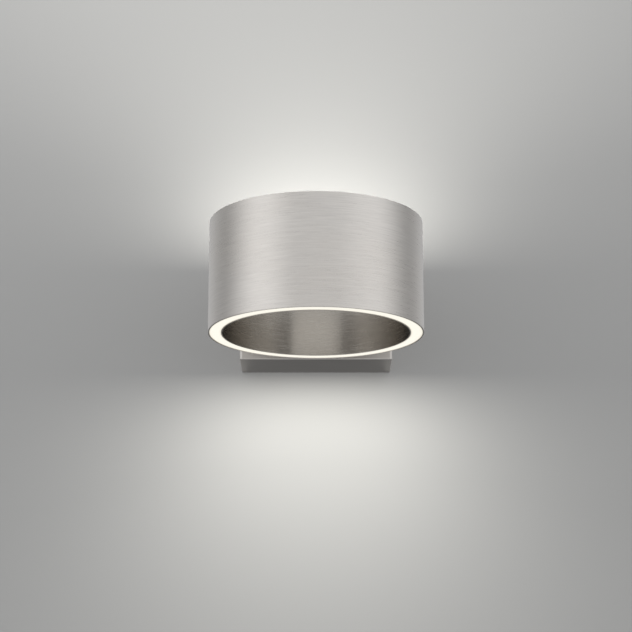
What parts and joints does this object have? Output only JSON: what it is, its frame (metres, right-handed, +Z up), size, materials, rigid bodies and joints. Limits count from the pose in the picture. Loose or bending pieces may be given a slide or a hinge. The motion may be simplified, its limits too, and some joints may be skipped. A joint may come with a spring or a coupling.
{
  "type": "tube wall light",
  "caption": "Wall light with a short wide open tube that shines up and down from thin opal rings, held in front of a rectangular wall box.",
  "frame": {"origin": "middle of the wall bracket's slot pattern, on the wall plane", "axes": "+Z up, -Y out of the wall into the room, +X to the right seen from the room"},
  "size_m": [0.17, 0.223, 0.09],
  "materials": {
    "brushed_nickel": "brushed nickel plate, satin",
    "zinc_steel": "bright zinc plated steel",
    "aluminium": "machined",
    "board_white": "white solder mask",
    "led": "yellow phosphor",
    "opal": "opal, lit from behind",
    "rubber_grey": "matt",
    "driver_plastic": "moulded",
    "driver_laminate": "coated laminate",
    "transformer_tape": "polyester tape",
    "capacitor_sleeve": "shrink sleeve",
    "terminal_plastic": "natural polyamide",
    "brass": "bright",
    "tinned_copper": "tinned",
    "lead_brown": "insulation",
    "lead_blue": "insulation",
    "lead_green": "insulation",
    "lead_red": "insulation",
    "lead_black": "insulation"
  },
  "bodies": {
    "bracket": {"wall_bracket": "zinc_steel", "cable_grommet": "rubber_grey", "bracket_earth_washer": "zinc_steel", "bracket_earth_screw": "zinc_steel"},
    "lamp": {"outer_sleeve": "brushed_nickel", "inner_sleeve": "brushed_nickel", "wall_box": "brushed_nickel", "drum_saddle": "brushed_nickel", "side_screws": "brushed_nickel", "side_screw_nuts": "zinc_steel", "drum_nut_plate": "zinc_steel", "drum_screws": "zinc_steel", "drum_screw_washers": "zinc_steel", "board_screws_lower": "zinc_steel", "board_screws_upper": "zinc_steel", "driver_nuts": "zinc_steel", "terminal_nuts": "zinc_steel", "earth_washer": "zinc_steel", "earth_nut": "zinc_steel", "terminal_screws": "zinc_steel", "tie_spacers": "zinc_steel", "carrier_ring_lower": "aluminium", "carrier_ring_upper": "aluminium", "led_board_lower": "board_white", "led_board_upper": "board_white", "led_chips_lower": "led", "led_chips_upper": "led", "diffuser_lower": "opal", "diffuser_upper": "opal", "lead_bush": "rubber_grey", "driver_base": "driver_plastic", "driver_cover": "driver_plastic", "driver_board": "driver_laminate", "driver_transformer": "transformer_tape", "driver_capacitors": "capacitor_sleeve", "terminal_block": "terminal_plastic", "terminal_inserts": "brass", "earth_lug": "tinned_copper", "live_lead": "lead_brown", "neutral_lead": "lead_blue", "earth_lead": "lead_green", "led_lead_upper_plus": "lead_red", "led_lead_lower_plus": "lead_red", "led_lead_upper_minus": "lead_black", "led_lead_lower_minus": "lead_black"}
  },
  "joints": [
    {"name": "lamp_slide", "type": "slide", "parent": "bracket", "child": "lamp", "axis": [0, -1, 0], "range_m": [0, 0.04]}
  ]
}
